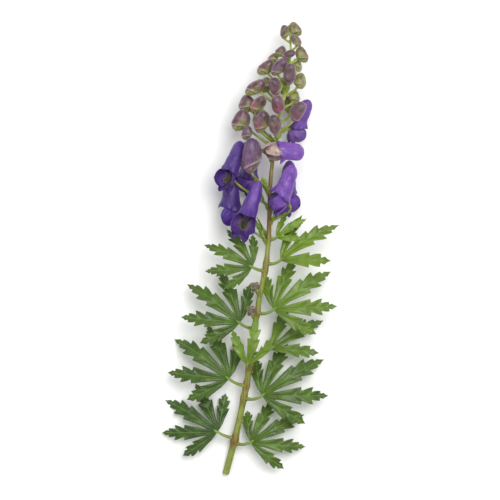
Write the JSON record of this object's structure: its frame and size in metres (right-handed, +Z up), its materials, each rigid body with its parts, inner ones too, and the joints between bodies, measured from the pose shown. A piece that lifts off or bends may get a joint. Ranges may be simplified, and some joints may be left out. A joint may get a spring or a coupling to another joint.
{
  "type": "monkshood flower spike",
  "caption": "Cut monkshood flower spike that lies on its back, with tall violet hoods, closed mauve buds and deeply cut leaves along a slim stem.",
  "frame": {"origin": "on the surface that the spike lies on, under the middle of its box", "axes": "+Y along the stem from its cut end to its tip, +X to the right of it as seen from above, +Z up from the surface"},
  "size_m": [0.1332, 0.3388, 0.0471],
  "materials": {
    "sepals": "matte violet petal skin with fine darker veins",
    "stamens": "dusty olive anthers on pale violet threads",
    "buds": "downy mauve skin, green-brown below",
    "leaves": "satin green blade with paler veins",
    "stem": "satin olive green with red-brown streaks"
  },
  "bodies": {
    "root": {"stem": "stem", "leaf_1": "leaves", "leaf_2": "leaves", "leaf_3": "leaves", "leaf_4": "leaves", "leaf_5": "leaves", "leaf_6": "leaves", "leaf_7": "leaves", "leaf_8": "leaves", "leaf_9": "leaves", "leaf_10": "leaves", "leaf_11": "leaves", "flower_1": "sepals", "flower_2": "sepals", "flower_3": "sepals", "flower_4": "sepals", "flower_5": "sepals", "flower_6": "sepals", "flower_7": "sepals", "flower_8": "sepals", "flower_1_stamens": "stamens", "flower_2_stamens": "stamens", "flower_3_stamens": "stamens", "flower_4_stamens": "stamens", "flower_5_stamens": "stamens", "flower_6_stamens": "stamens", "flower_7_stamens": "stamens", "flower_8_stamens": "stamens", "bud_1": "buds", "bud_2": "buds", "bud_3": "buds", "bud_4": "buds", "bud_5": "buds", "bud_6": "buds", "bud_7": "buds", "bud_8": "buds", "bud_9": "buds", "bud_10": "buds", "bud_11": "buds", "bud_12": "buds", "bud_13": "buds", "bud_14": "buds", "bud_15": "buds", "bud_16": "buds", "bud_17": "buds", "bud_18": "buds", "bud_19": "buds", "bud_20": "buds", "bud_21": "buds", "bud_22": "buds", "bud_23": "buds", "bud_24": "buds", "bud_25": "buds", "bud_26": "buds", "bud_27": "buds", "bud_28": "buds", "bud_cluster_1": "buds", "bud_cluster_2": "buds"}
  },
  "joints": []
}
